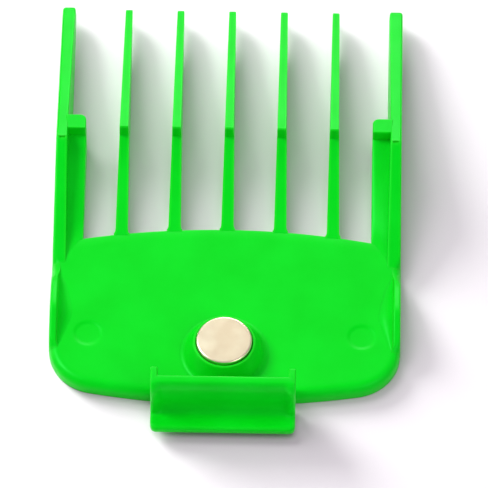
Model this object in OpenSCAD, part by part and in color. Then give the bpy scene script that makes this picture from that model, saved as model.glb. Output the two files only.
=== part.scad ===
// Clipper guard comb: a slip-on cutting guide with one magnet, seven teeth and a rear thumb latch.
// Millimetres. X runs across the comb, +Y towards the tooth tips, +Z from the skin to the blade.
// The origin is where the magnet's axis meets the plane that the comb rests on.

/* [Comb] */
// Overall width of the comb
comb_w = 50.5; // [46:0.1:54]
// Cutting length: height of the blade's underside above the skin
cut_length = 6; // [5.6:0.1:8]
// Height of the deck's upper face above the skin
deck_top_z = 2.4; // [2:0.1:2.8]
// Thickness of the deck
deck_t = 1.4; // [1:0.1:1.6]
// Place of the deck's front edge on the centre line
front_y = 21.6; // [20:0.1:23]
// Place of the deck's rear edge on the centre line
rear_y = -7.4; // [-7.6:0.1:-7]
// Radius of the bowed front and rear edges
bow_r = 112; // [90:1:160]
// Radius of the rear corners
corner_r = 7.2; // [5:0.1:9]
// Thickness of the skirt under the deck's edge
skirt_t = 1.3; // [1:0.1:1.8]

/* [Teeth] */
// Distance from tooth to tooth
tooth_pitch = 7.67; // [7:0.01:7.8]
// Width of a tooth at its root
tooth_root_w = 1.82; // [1.4:0.02:2]
// Width of a tooth at its tip
tooth_tip_w = 1.04; // [0.7:0.02:1.2]
// Place of the tooth tips
tip_y = 60.7; // [56:0.1:64]
// Radius of a tooth's rounded nose, seen from the side
nose_r = 0.85; // [0.6:0.05:1]
// Height of the centre of that nose
nose_z = 2.05; // [1.6:0.05:2.4]
// Width of the ribs that carry the teeth under the deck
rib_w = 1.4; // [1:0.1:1.6]

/* [Blade seat] */
// Place of the stop faces that the blade's teeth butt against
stop_y = 35.3; // [34:0.1:36.5]
// Height of the stop faces on the slim teeth
stop_h = 2.3; // [1.8:0.1:2.6]
// Inner edge of the side ledges, measured from the centre line
ledge_x = 20.9; // [20.4:0.1:21.5]
// Wall thickness of the cored ledges
ledge_t = 1.2; // [1:0.1:1.4]
// Length of the raised stop block at the end of each ledge
block_l = 2.6; // [2:0.1:3]
// Height of those blocks above the blade's underside
block_h = 1.9; // [1.5:0.1:2.2]
// Rounding of a block's front inner corner
block_r = 0.9; // [0.5:0.1:1.1]

/* [Side walls] */
// Place where the side walls and the ledges start to rise
rail_y = 15.6; // [14.5:0.1:16.5]
// Place of the side walls' ridge
ridge_y = 33.6; // [32:0.1:34.5]
// Height of the side walls' ridge
ridge_z = 8.4; // [8:0.1:9.5]
// Thickness of a side wall at its foot
wall_foot_t = 2.1; // [1.8:0.1:2.2]
// Thickness of a side wall at the height of the ridge
wall_top_t = 1.6; // [1.1:0.05:1.8]
// How far the outer teeth reach past the slim ones
outer_extra_l = 0.3; // [0:0.1:1]

/* [Side ears] */
// Place of an ear's peak
ear_y = 6.6; // [6:0.1:7.5]
// Length of an ear's foot
ear_l = 12; // [8:0.1:12]
// Height of an ear above the deck
ear_h = 2; // [1:0.1:2.6]
// Thickness of an ear
ear_t = 1.1; // [0.9:0.1:1.4]

/* [Magnet] */
// Diameter of the disc magnet
magnet_d = 8; // [6:0.5:8]
// Thickness of the disc magnet
magnet_t = 2; // [1.5:0.1:2]
// Radial gap between the magnet and its pocket
magnet_gap = 0.1; // [0.05:0.01:0.2]
// Thickness of the adhesive under the magnet
glue_t = 0.1; // [0.05:0.01:0.2]
// How far the magnet stands out of its boss
magnet_proud = 0.5; // [0.3:0.1:0.8]
// Diameter of the boss at its foot
boss_foot_d = 11.5; // [10.5:0.1:12.5]
// Diameter of the boss at its top
boss_top_d = 9; // [8.8:0.1:9.6]

/* [Latch] */
// Width of the latch over its end plates
latch_w = 20.7; // [17:0.1:22]
// Thickness of the end plates
end_t = 1; // [0.8:0.1:1.3]
// Place of the latch wall's rear face
latch_y = -9.15; // [-9.3:0.05:-9]
// Thickness of the latch wall
latch_t = 1.1; // [0.9:0.1:1.2]
// Height of the latch's top
latch_top_z = 8; // [7.8:0.1:8.4]
// Reach of the hook over the blade's rear edge
hook_reach = 0.65; // [0.4:0.05:0.8]
// Thickness of the hook
hook_t = 0.8; // [0.6:0.1:1]
// Place of the thumb tab's outer rim
tab_y = -12.95; // [-13.2:0.05:-12.5]
// Thickness of the thumb tab
tab_t = 1.3; // [1.1:0.1:1.4]
// Radius of the scoop between the latch wall and the tab
scoop_r = 1.2; // [0.8:0.1:2.6]
// Place of the front corners of the end plates
end_front_y = -5.95; // [-6.2:0.05:-5.9]
// Thickness of the thin web that the latch flexes on
web_t = 0.9; // [0.6:0.1:1]

/* [Hidden] */
LEFT = -1;
RIGHT = 1;
tooth_count = 5;                                // slim teeth between the two outer ones
cut = 0.5;                                      // overrun of a cutting shape past a face
half_w = comb_w / 2;
skirt_h = deck_top_z - deck_t;
stop_top_z = cut_length + stop_h;
block_top_z = cut_length + block_h;
sole_flat_y = 38;                               // where the teeth's soles start to rise
wall_lean = 0.1;                                // inward lean of a wall's outer face at the ridge
wall_mid_x = half_w - wall_foot_t / 2;          // a plane that stays inside the wall at every height
boss_top_z = cut_length - magnet_proud;
pocket_floor_z = cut_length - magnet_t - glue_t;
magnet_chamfer = 0.25;
tab_top_z = deck_top_z;
tab_bottom_z = tab_top_z - tab_t;
tab_corner_r = 0.9;
web_z = 0.5;                                    // underside of the web and of the latch wall
web_w = latch_w - 2 * end_t - 1;
web_bury = 1;                                   // cuts the web to the bowed edge over its whole width
end_clear = 0.5;                                // gap from the deck up to the end plates
ear_flat = 0.8;                                 // half length of an ear's blunt peak
$fn = 64;

// Points on an arc about (cx, cy), from angle a0 to angle a1 in n steps.
function arc(cx, cy, r, a0, a1, n) =
    [for (i = [0:n]) let (a = a0 + (a1 - a0) * i / n) [cx + r * cos(a), cy + r * sin(a)]];

// Right half of the bowed rear outline, pulled in by inset: the side corner, then the rear edge.
function rear_half(inset) =
    let (r = corner_r - inset, big = bow_r - inset,
         cx = half_w - corner_r, big_cy = rear_y + bow_r,
         cy = big_cy - sqrt(pow(big - r, 2) - cx * cx),
         swing = asin(cx / (big - r)))
    concat(arc(cx, cy, r, 0, swing - 90, 12), arc(0, big_cy, big, swing - 90, -90, 5));

// The same half mirrored to the left and run backwards, without the point on the centre line.
function mirrored(points) = [for (i = [len(points) - 2:-1:0]) [-points[i][0], points[i][1]]];

corner_y = rear_half(0)[0][1];                  // where the straight sides end at the rear
bow_front_cy = front_y - bow_r;
bow_front_swing = asin(ledge_x / bow_r);

// Outline of the deck, with its front corners left free for the side rails.
module deck_outline() {
    front = arc(0, bow_front_cy, bow_r, 90 + bow_front_swing, 90 - bow_front_swing, 16);
    polygon(concat(
        front,
        [[ledge_x, rail_y], [half_w, rail_y]],
        rear_half(0),
        mirrored(rear_half(0)),
        [[-half_w, rail_y], [-ledge_x, rail_y]]
    ));
}

// Lifts a side view drawn in Y and Z into a plate that spans x0 to x1.
module plate_x(x0, x1) {
    translate([x0, 0, 0])
        rotate([90, 0, 90])
            linear_extrude(x1 - x0) children();
}

// Mirrors a right-hand shape for the left side.
module on_side(side) {
    mirror([side == LEFT ? 1 : 0, 0, 0]) children();
}

// Side view of a tooth from its root to its nose; the sole rises towards the nose.
function tooth_side(root_y, shoulder, tip) =
    let (nose_y = tip - nose_r, sole_rise = nose_z - nose_r, n = 8,
         sole = [for (i = [0:n]) let (t = i / n)
             [sole_flat_y + (nose_y - sole_flat_y) * t, sole_rise * t * t]])
    concat([[root_y, 0]], sole, arc(nose_y, nose_z, nose_r, -75, 75, 8), shoulder);

module deck_plate() {
    color("limegreen")
        translate([0, 0, skirt_h])
            linear_extrude(deck_t) deck_outline();
}

module skirt_side(side) {
    color("limegreen")
        on_side(side)
            translate([half_w - skirt_t, corner_y, 0])
                cube([skirt_t, rail_y - corner_y, skirt_h]);
}

module skirt_rear(side) {
    outer = rear_half(0);
    inner = rear_half(skirt_t);
    color("limegreen")
        on_side(side)
            linear_extrude(skirt_h)
                polygon(concat(outer, [for (i = [len(inner) - 1:-1:0]) inner[i]]));
}

function tooth_x(index) = (index - (tooth_count + 1) / 2) * tooth_pitch;

function skirt_inner_y(x) = rear_y + bow_r - sqrt(pow(bow_r - skirt_t, 2) - x * x);

function front_edge_y(x) = bow_front_cy + sqrt(bow_r * bow_r - x * x);

module rib(index) {
    x = tooth_x(index);
    y0 = skirt_inner_y(abs(x) + rib_w / 2);
    y1 = front_edge_y(abs(x) + rib_w / 2);
    color("limegreen")
        translate([x - rib_w / 2, y0, 0])
            cube([rib_w, y1 - y0, skirt_h]);
}

// A slim tooth: a ramp up to the blade's underside, the stop face, and a long taper to the nose.
module tooth(index) {
    x = tooth_x(index);
    root_y = front_edge_y(abs(x) + rib_w / 2);
    shoulder = [[stop_y, stop_top_z], [stop_y, cut_length], [front_edge_y(x), deck_top_z],
                [root_y, deck_top_z]];
    color("limegreen")
        difference() {
            intersection() {
                plate_x(x - tooth_root_w, x + tooth_root_w)
                    polygon(tooth_side(root_y, shoulder, tip_y));
                translate([x, 0, -cut])
                    linear_extrude(stop_top_z + 2 * cut)
                        polygon([
                            [-tooth_root_w / 2, root_y], [tooth_root_w / 2, root_y],
                            [tooth_tip_w / 2, tip_y + cut], [-tooth_tip_w / 2, tip_y + cut]
                        ]);
            }
            translate([0, 0, skirt_h])
                linear_extrude(deck_t + cut) deck_outline();
        }
}

// Cross-section that the side walls and outer teeth share: a thick foot and a slim top.
module wall_section(y0, y1) {
    translate([0, y1, 0])
        rotate([90, 0, 0])
            linear_extrude(y1 - y0)
                polygon([
                    [half_w - wall_foot_t, 0], [half_w, 0],
                    [half_w - wall_lean, ridge_z], [half_w - wall_lean - wall_top_t, ridge_z]
                ]);
}

module side_wall(side) {
    color("limegreen")
        on_side(side)
            intersection() {
                wall_section(rail_y, ridge_y);
                plate_x(0, half_w)
                    polygon([[rail_y, 0], [ridge_y, 0], [ridge_y, ridge_z], [rail_y, deck_top_z]]);
            }
}

module outer_tooth(side) {
    outer_tip_y = tip_y + outer_extra_l;
    color("limegreen")
        on_side(side)
            intersection() {
                wall_section(ridge_y, outer_tip_y);
                plate_x(0, half_w)
                    polygon(tooth_side(ridge_y, [[ridge_y, ridge_z]], outer_tip_y));
            }
}

// A cored ledge beside each wall; its top rises to the blade's underside.
module blade_ledge(side) {
    rise = cut_length - deck_top_z;
    color("limegreen")
        on_side(side)
            difference() {
                plate_x(ledge_x, wall_mid_x)
                    polygon([[rail_y, 0], [stop_y, 0], [stop_y, cut_length], [rail_y, deck_top_z]]);
                plate_x(ledge_x + ledge_t, wall_mid_x + cut)
                    polygon([
                        [rail_y + ledge_t, -cut], [stop_y - ledge_t, -cut],
                        [stop_y - ledge_t, cut_length - ledge_t - rise * ledge_t / (stop_y - rail_y)],
                        [rail_y + ledge_t, deck_top_z - ledge_t]
                    ]);
                wall_section(rail_y - cut, stop_y + cut);
            }
}

module stop_block(side) {
    block_front_y = stop_y + block_l;
    color("limegreen")
        on_side(side)
            difference() {
                linear_extrude(block_top_z)
                    union() {
                        translate([ledge_x, stop_y])
                            square([wall_mid_x - ledge_x, block_l - block_r]);
                        translate([ledge_x + block_r, stop_y])
                            square([wall_mid_x - ledge_x - block_r, block_l]);
                        translate([ledge_x + block_r, block_front_y - block_r])
                            circle(block_r);
                    }
                wall_section(stop_y - cut, block_front_y + cut);
            }
}

module side_ear(side) {
    color("limegreen")
        on_side(side)
            plate_x(half_w - ear_t, half_w)
                translate([ear_y, deck_top_z])
                    polygon([[-ear_l / 2, 0], [ear_l / 2, 0], [ear_flat, ear_h], [-ear_flat, ear_h]]);
}

module magnet_boss() {
    color("limegreen")
        difference() {
            translate([0, 0, deck_top_z])
                cylinder(h = boss_top_z - deck_top_z, d1 = boss_foot_d, d2 = boss_top_d);
            translate([0, 0, pocket_floor_z])
                cylinder(h = cut_length, d = magnet_d + 2 * magnet_gap);
        }
}

module magnet_adhesive() {
    color("ivory")
        translate([0, 0, pocket_floor_z])
            cylinder(h = glue_t, d = magnet_d);
}

module magnet_disc() {
    r = magnet_d / 2;
    z0 = cut_length - magnet_t;
    color("wheat")
        rotate_extrude()
            polygon([
                [0, z0], [r, z0], [r, cut_length - magnet_chamfer],
                [r - magnet_chamfer, cut_length], [0, cut_length]
            ]);
}

// The thin web between the deck's rear edge and the latch wall.
module latch_web() {
    color("limegreen")
        difference() {
            translate([-web_w / 2, latch_y + latch_t, web_z])
                cube([web_w, rear_y + web_bury - latch_y - latch_t, web_t]);
            translate([0, 0, -cut])
                linear_extrude(deck_top_z + cut) deck_outline();
        }
}

module latch_wall() {
    inner_w = latch_w - 2 * end_t;
    color("limegreen")
        translate([-inner_w / 2, latch_y, web_z])
            cube([inner_w, latch_t, latch_top_z - web_z]);
}

// The hook: a bevelled lip along the top of the latch wall.
module latch_hook() {
    inner_w = latch_w - 2 * end_t;
    y0 = latch_y + latch_t;
    color("limegreen")
        plate_x(-inner_w / 2, inner_w / 2)
            polygon([
                [y0, latch_top_z], [y0, latch_top_z - hook_t - hook_reach],
                [y0 + hook_reach, latch_top_z - hook_t], [y0 + hook_reach, latch_top_z]
            ]);
}

// The thumb tab, with a scooped fillet up the latch wall.
module thumb_tab() {
    inner_w = latch_w - 2 * end_t;
    color("limegreen")
        plate_x(-inner_w / 2, inner_w / 2)
            polygon(concat(
                arc(latch_y - scoop_r, tab_top_z + scoop_r, scoop_r, 0, -90, 8),
                [[tab_y, tab_top_z], [tab_y, tab_bottom_z], [latch_y, tab_bottom_z]]
            ));
}

// An end plate of the latch, with a rounded lower corner at the tab's rim.
module latch_end(side) {
    x1 = latch_w / 2;
    color("limegreen")
        on_side(side)
            intersection() {
                plate_x(x1 - end_t, x1)
                    polygon([
                        [end_front_y, deck_top_z + end_clear], [end_front_y, latch_top_z],
                        [latch_y, latch_top_z], [tab_y, tab_top_z],
                        [tab_y, tab_bottom_z], [latch_y + latch_t, tab_bottom_z],
                        [latch_y + latch_t, deck_top_z + end_clear]
                    ]);
                linear_extrude(latch_top_z + cut)
                    union() {
                        translate([x1 - end_t, tab_y + tab_corner_r])
                            square([end_t, end_front_y - tab_y]);
                        translate([x1 - tab_corner_r, tab_y + tab_corner_r])
                            circle(tab_corner_r);
                        translate([x1 - end_t, tab_y])
                            square([end_t - tab_corner_r, tab_corner_r]);
                    }
            }
}

deck_plate();
skirt_side(LEFT);  // skirt_side_left
skirt_side(RIGHT);  // skirt_side_right
skirt_rear(LEFT);  // skirt_rear_left
skirt_rear(RIGHT);  // skirt_rear_right
rib(1);  // rib_1
rib(2);  // rib_2
rib(3);  // rib_3
rib(4);  // rib_4
rib(5);  // rib_5
tooth(1);  // tooth_1
tooth(2);  // tooth_2
tooth(3);  // tooth_3
tooth(4);  // tooth_4
tooth(5);  // tooth_5
outer_tooth(LEFT);  // outer_tooth_left
outer_tooth(RIGHT);  // outer_tooth_right
side_wall(LEFT);  // side_wall_left
side_wall(RIGHT);  // side_wall_right
blade_ledge(LEFT);  // blade_ledge_left
blade_ledge(RIGHT);  // blade_ledge_right
stop_block(LEFT);  // stop_block_left
stop_block(RIGHT);  // stop_block_right
side_ear(LEFT);  // side_ear_left
side_ear(RIGHT);  // side_ear_right
magnet_boss();
magnet_adhesive();
magnet_disc();
latch_web();
latch_wall();
latch_hook();
thumb_tab();
latch_end(LEFT);  // latch_end_left
latch_end(RIGHT);  // latch_end_right
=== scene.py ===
import math

import bmesh
import bpy
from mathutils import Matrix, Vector
from mathutils.geometry import delaunay_2d_cdt


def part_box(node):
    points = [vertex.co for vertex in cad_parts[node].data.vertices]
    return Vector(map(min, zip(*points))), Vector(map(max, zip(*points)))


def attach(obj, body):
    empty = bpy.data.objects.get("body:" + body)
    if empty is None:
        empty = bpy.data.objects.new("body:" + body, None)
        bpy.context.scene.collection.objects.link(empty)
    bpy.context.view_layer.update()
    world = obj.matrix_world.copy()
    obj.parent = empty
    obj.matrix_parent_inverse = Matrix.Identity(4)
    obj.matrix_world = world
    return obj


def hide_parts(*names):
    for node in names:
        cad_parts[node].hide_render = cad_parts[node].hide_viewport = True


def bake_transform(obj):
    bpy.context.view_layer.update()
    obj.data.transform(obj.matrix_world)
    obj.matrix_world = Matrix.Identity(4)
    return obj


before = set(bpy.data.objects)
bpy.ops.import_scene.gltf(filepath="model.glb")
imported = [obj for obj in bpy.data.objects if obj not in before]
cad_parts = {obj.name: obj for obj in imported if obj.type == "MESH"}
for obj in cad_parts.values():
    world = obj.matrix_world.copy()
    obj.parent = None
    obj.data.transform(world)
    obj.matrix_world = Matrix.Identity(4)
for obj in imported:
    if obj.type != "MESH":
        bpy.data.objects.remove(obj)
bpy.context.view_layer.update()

# Looks of the clipper guard comb. Shapes are worked out in millimetres and stored in metres.
MM = 0.001
LEFT = -1
RIGHT = 1
SIDE_NAMES = {LEFT: "left", RIGHT: "right"}


def box_mm(node):
    """Lowest and highest corner of a CAD node, in millimetres."""
    low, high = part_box(node)
    return low / MM, high / MM


# ---------------------------------------------------------------- driving sizes, from the frame
deck_low, deck_high = box_mm("deck_plate")
wall_low, wall_high = box_mm("side_wall_right")
outer_high = box_mm("outer_tooth_right")[1]
ledge_low, ledge_high = box_mm("blade_ledge_right")
block_high = box_mm("stop_block_right")[1]
ear_low, ear_high = box_mm("side_ear_right")
boss_high = box_mm("magnet_boss")[1]
magnet_low, magnet_high = box_mm("magnet_disc")
glue_low, glue_high = box_mm("magnet_adhesive")
slim_low, slim_high = box_mm("tooth_3")
skirt_low, skirt_high = box_mm("skirt_side_right")
latch_low, latch_high = box_mm("latch_wall")
hook_low, hook_high = box_mm("latch_hook")
tab_low = box_mm("thumb_tab")[0]
end_low, end_high = box_mm("latch_end_right")
web_low, web_high = box_mm("latch_web")

HALF_W = deck_high.x
DECK_TOP = deck_high.z
DECK_UNDER = deck_low.z
FRONT_Y = deck_high.y
REAR_Y = deck_low.y
BOW_R = 112.0          # radius of the deck's bowed front and rear edges
CORNER_R = 7.2         # radius of its rear corners, seen from above
SKIRT_T = skirt_high.x - skirt_low.x
RAIL_Y = wall_low.y    # where the side walls begin
RIDGE_Y = wall_high.y
RIDGE_Z = wall_high.z
LEDGE_X = ledge_low.x
STOP_Y = ledge_high.y  # where the blade's front edge stops
BLADE_Z = ledge_high.z
STEP_Z = slim_high.z
TIP_Y = slim_high.y
NOSE_R = 0.85          # radius of every tooth's nose, seen from the side
NOSE_Z = 2.05          # height of the nose's centre
NOSE_TOP = 76          # angle, in degrees, at which the nose meets the tooth's straight top
SOLE_FLAT_Y = 38.0     # the sole is flat as far as this
PITCH = box_mm("tooth_4")[0].x - slim_low.x
ROOT_HALF_W = 0.91     # half width of a slim tooth at the deck's front edge
TIP_HALF_W = 0.52      # and at its tip
ROOT_DEPTH = 0.6       # how far a coved foot reaches into the deck, out of sight
FLUSH = 0.004          # keeps two surfaces that lie in one plane from flickering


def oval(cx, cy, rx, ry, a0, a1, steps):
    """Points on part of an ellipse, angles in degrees."""
    angles = [math.radians(mix(a0, a1, i / steps)) for i in range(steps + 1)]
    return [(cx + rx * math.cos(a), cy + ry * math.sin(a)) for a in angles]


def arc(cx, cy, r, a0, a1, steps):
    """Points on part of a circle, angles in degrees."""
    return oval(cx, cy, r, r, a0, a1, steps)


def smooth(t):
    """0 to 1 with a soft start and end."""
    t = min(1.0, max(0.0, t))
    return t * t * (3 - 2 * t)


def mix(a, b, t):
    """The value that lies the share t of the way from a to b."""
    return a + (b - a) * t


def front_edge(x, inset=0.0):
    """Y at x of the deck's bowed front edge, pulled in by inset."""
    return FRONT_Y - BOW_R + math.sqrt((BOW_R - inset) ** 2 - x * x)


# ---------------------------------------------------------------- materials
MASK_SAMPLES = 6
PLASTIC_IOR = 1.49

# linear red, green and blue
GREEN_DEEP = (0.0, 0.68, 0.008)
GREEN_BRIGHT = (0.001, 0.73, 0.012)
# paler edge colour: partly rubbed wear, partly painted highlight
GREEN_WORN_AND_HIGHLIGHT = (0.035, 0.80, 0.03)
GREEN_GLOSS = (0.12, 1.0, 0.3)
GREEN_SCATTER = (0.15, 1.0, 0.25)
NICKEL_STAINED = (0.90, 0.76, 0.53)
NICKEL_CLEAN = (0.96, 0.87, 0.64)
# brighter edge colour: partly rubbed wear, partly painted highlight
NICKEL_WORN_AND_HIGHLIGHT = (1.0, 0.96, 0.86)
GLUE_THIN = (0.50, 0.52, 0.30)
GLUE_THICK = (0.72, 0.70, 0.48)
FLOOR_GREY = (0.62, 0.62, 0.62)


def node_material(name, roughness, metallic=0.0):
    """A new node material and its principled shader."""
    material = bpy.data.materials.new(name)
    material.use_nodes = True
    shader = material.node_tree.nodes["Principled BSDF"]
    shader.inputs["Roughness"].default_value = roughness
    shader.inputs["Metallic"].default_value = metallic
    return material, shader


def add_noise(material, scale, detail=3.0, stretch=(1.0, 1.0, 1.0)):
    """A noise texture in the part's own coordinates; scale is in features per metre."""
    nodes, links = material.node_tree.nodes, material.node_tree.links
    coords = nodes.new("ShaderNodeTexCoord")
    mapping = nodes.new("ShaderNodeMapping")
    mapping.inputs["Scale"].default_value = stretch
    noise = nodes.new("ShaderNodeTexNoise")
    noise.inputs["Scale"].default_value = scale
    noise.inputs["Detail"].default_value = detail
    links.new(coords.outputs["Object"], mapping.inputs["Vector"])
    links.new(mapping.outputs["Vector"], noise.inputs["Vector"])
    return noise


def ramp(material, source, low, high):
    """Maps a 0 to 1 value onto low to high."""
    node = material.node_tree.nodes.new("ShaderNodeMapRange")
    node.inputs["To Min"].default_value = low
    node.inputs["To Max"].default_value = high
    material.node_tree.links.new(source, node.inputs["Value"])
    return node.outputs["Result"]


def colour_between(material, source, low, high, start=0.35, end=0.65):
    """Maps a 0 to 1 value onto two colours."""
    node = material.node_tree.nodes.new("ShaderNodeValToRGB")
    node.color_ramp.elements[0].position = start
    node.color_ramp.elements[1].position = end
    node.color_ramp.elements[0].color = (*low, 1)
    node.color_ramp.elements[1].color = (*high, 1)
    material.node_tree.links.new(source, node.inputs["Fac"])
    return node.outputs["Color"]


def add_bumps(material, shader, layers):
    """Stacks bump layers, each (height source, strength, distance in metres)."""
    nodes, links = material.node_tree.nodes, material.node_tree.links
    previous = None
    for height, strength, distance in layers:
        bump = nodes.new("ShaderNodeBump")
        bump.inputs["Strength"].default_value = strength
        bump.inputs["Distance"].default_value = distance
        links.new(height, bump.inputs["Height"])
        if previous is not None:
            links.new(previous, bump.inputs["Normal"])
        previous = bump.outputs["Normal"]
    links.new(previous, shader.inputs["Normal"])


def edge_mask(material, grain, reach, strength):
    """0 on flat areas, rising on outer edges: the mask for edges painted paler, partly as rubbed wear and
    partly as painted highlight. reach is in metres, grain breaks it up.
    """
    nodes, links = material.node_tree.nodes, material.node_tree.links
    inner = nodes.new("ShaderNodeAmbientOcclusion")
    inner.inside = True
    inner.only_local = True
    inner.samples = MASK_SAMPLES
    inner.inputs["Distance"].default_value = reach
    edge = ramp(material, inner.outputs["AO"], low=strength, high=0.0)
    broken = nodes.new("ShaderNodeMath")
    broken.operation = "MULTIPLY"
    broken.use_clamp = True
    links.new(edge, broken.inputs[0])
    links.new(ramp(material, grain, low=0.55, high=1.25), broken.inputs[1])
    return broken.outputs["Value"]


def mixed_colour(material, factor, base, other):
    """Colour that goes from the base socket to a fixed colour by factor."""
    node = material.node_tree.nodes.new("ShaderNodeMix")
    node.data_type = "RGBA"
    material.node_tree.links.new(factor, node.inputs["Factor"])
    material.node_tree.links.new(base, node.inputs["A"])
    node.inputs["B"].default_value = (*other, 1)
    return node.outputs["Result"]


def green_plastic():
    """Bright green moulded plastic: a little flow mottle, fine scuffs, orange peel, and edges painted
    paler, partly as wear and partly as painted highlight.
    """
    material, shader = node_material("green_plastic", roughness=0.38)
    links = material.node_tree.links
    mottle = add_noise(material, scale=140, detail=4.0)
    colour = colour_between(material, mottle.outputs["Fac"], GREEN_DEEP, GREEN_BRIGHT)
    haze = add_noise(material, scale=420, detail=5.0)
    # edges painted paler: partly rubbed wear, partly painted highlight
    worn_and_highlight = edge_mask(material, haze.outputs["Fac"], reach=0.00045, strength=0.9)
    links.new(mixed_colour(material, worn_and_highlight, colour, GREEN_WORN_AND_HIGHLIGHT), shader.inputs["Base Color"])
    links.new(ramp(material, haze.outputs["Fac"], low=0.32, high=0.44), shader.inputs["Roughness"])
    shader.inputs["IOR"].default_value = PLASTIC_IOR
    shader.inputs["Specular IOR Level"].default_value = 0.4
    shader.inputs["Specular Tint"].default_value = (*GREEN_GLOSS, 1)
    shader.inputs["Subsurface Weight"].default_value = 0.35
    shader.inputs["Subsurface Radius"].default_value = GREEN_SCATTER
    shader.inputs["Subsurface Scale"].default_value = 0.0005
    peel = add_noise(material, scale=1500, detail=2.0)
    wave = add_noise(material, scale=90, detail=1.0)
    scuff = add_noise(material, scale=900, detail=6.0, stretch=(1.0, 0.08, 1.0))
    add_bumps(material, shader, [
        (wave.outputs["Fac"], 0.06, 0.0003),
        (peel.outputs["Fac"], 0.10, 0.00005),
        (scuff.outputs["Fac"], 0.06, 0.00004),
    ])
    return material


def nickel_plating():
    """Nickel plating on the magnet: warm, lightly scratched, dulled in patches, and painted brighter at its
    edge, partly as wear and partly as painted highlight.
    """
    material, shader = node_material("nickel_plating", roughness=0.3, metallic=1.0)
    links = material.node_tree.links
    stain = add_noise(material, scale=260, detail=4.0)
    colour = colour_between(material, stain.outputs["Fac"], NICKEL_STAINED, NICKEL_CLEAN)
    haze = add_noise(material, scale=500, detail=5.0)
    # edge painted brighter: partly rubbed wear, partly painted highlight
    worn_and_highlight = edge_mask(material, haze.outputs["Fac"], reach=0.0003, strength=1.0)
    links.new(mixed_colour(material, worn_and_highlight, colour, NICKEL_WORN_AND_HIGHLIGHT), shader.inputs["Base Color"])
    links.new(ramp(material, haze.outputs["Fac"], low=0.24, high=0.42), shader.inputs["Roughness"])
    scratch = add_noise(material, scale=1400, detail=3.0, stretch=(1.0, 0.05, 1.0))
    grain = add_noise(material, scale=3000, detail=2.0)
    add_bumps(material, shader, [
        (scratch.outputs["Fac"], 0.12, 0.00003),
        (grain.outputs["Fac"], 0.05, 0.00002),
    ])
    return material


def clear_adhesive():
    """Cured adhesive squeezed out round the magnet, cloudy where it is thick."""
    material, shader = node_material("clear_adhesive", roughness=0.18)
    links = material.node_tree.links
    clouds = add_noise(material, scale=700, detail=3.0)
    colour = colour_between(material, clouds.outputs["Fac"], GLUE_THIN, GLUE_THICK)
    links.new(colour, shader.inputs["Base Color"])
    links.new(ramp(material, clouds.outputs["Fac"], low=0.12, high=0.3), shader.inputs["Roughness"])
    add_bumps(material, shader, [(clouds.outputs["Fac"], 0.3, 0.0001)])
    return material


def floor_paint():
    """Plain pale studio floor."""
    material, shader = node_material("pale_floor", roughness=0.7)
    shader.inputs["Base Color"].default_value = (*FLOOR_GREY, 1)
    return material


MATERIALS = {
    "green_plastic": green_plastic(),
    "nickel_plating": nickel_plating(),
    "clear_adhesive": clear_adhesive(),
}


# ---------------------------------------------------------------- mesh helpers
MERGE_M = 1e-7          # points closer than this, in metres, become one
CUT_MM = 1e-5           # tolerance of the cuts made in a flat outline
BEVEL_SEGMENTS = 3
TURN_STEPS = 96         # points round a turned part


def add_piece(name, points, faces, body, nodes, slot="green_plastic", bevel=0.0, crease=35):
    """A piece from points in millimetres and faces by index; it rides on body and stands for nodes."""
    mesh = bpy.data.meshes.new(name)
    mesh.from_pydata([(x * MM, y * MM, z * MM) for x, y, z in points], [], faces)
    tidy = bmesh.new()
    tidy.from_mesh(mesh)
    bmesh.ops.remove_doubles(tidy, verts=tidy.verts, dist=MERGE_M)
    bmesh.ops.dissolve_degenerate(tidy, edges=tidy.edges, dist=MERGE_M)
    bmesh.ops.recalc_face_normals(tidy, faces=tidy.faces)
    tidy.to_mesh(mesh)
    tidy.free()
    mesh.shade_smooth()
    mesh.set_sharp_from_angle(angle=math.radians(crease))
    mesh.materials.append(MATERIALS[slot])
    piece = bpy.data.objects.new(name, mesh)
    bpy.context.scene.collection.objects.link(piece)
    if bevel:
        rounding = piece.modifiers.new("rounding", "BEVEL")
        rounding.width = bevel * MM
        rounding.segments = BEVEL_SEGMENTS
        rounding.limit_method = "ANGLE"
        rounding.angle_limit = math.radians(crease)
        rounding.harden_normals = True
    if body is not None:
        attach(piece, body)
    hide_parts(*nodes)
    return piece


def slab(outline, x_low, x_high, cuts=()):
    """Points and faces of a plate whose side view is outline, a list of (y, z).

    x_low and x_high give each side face's x at (y, z). cuts are (point, normal) lines in that view where
    the side faces may bend.
    """
    flat = bmesh.new()
    flat.faces.new([flat.verts.new((0.0, y, z)) for y, z in outline])
    for (y, z), (ny, nz) in cuts:
        everything = flat.verts[:] + flat.edges[:] + flat.faces[:]
        bmesh.ops.bisect_plane(flat, geom=everything, plane_co=(0, y, z), plane_no=(0, ny, nz), dist=CUT_MM)
    flat.verts.index_update()
    view = [(v.co.y, v.co.z) for v in flat.verts]
    count = len(view)
    points = [(x_low(y, z), y, z) for y, z in view] + [(x_high(y, z), y, z) for y, z in view]
    faces = []
    for face in flat.faces:
        ring = [v.index for v in face.verts]
        faces.append(ring)
        faces.append([i + count for i in reversed(ring)])
    for edge in flat.edges:
        if edge.is_boundary:
            a, b = edge.verts[0].index, edge.verts[1].index
            faces.append([a, b, b + count, a + count])
    flat.free()
    return points, faces


def mirrored_points(points, side):
    """Points made for the right side, moved to the given side."""
    return [(x * side, y, z) for x, y, z in points]


def strips(loops):
    """Quads between closed loops that have the same number of points."""
    size = len(loops[0])
    points = [p for loop in loops for p in loop]
    faces = []
    for row in range(len(loops) - 1):
        for i in range(size):
            j = (i + 1) % size
            a, b = row * size, (row + 1) * size
            faces.append([a + i, a + j, b + j, b + i])
    return points, faces


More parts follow.
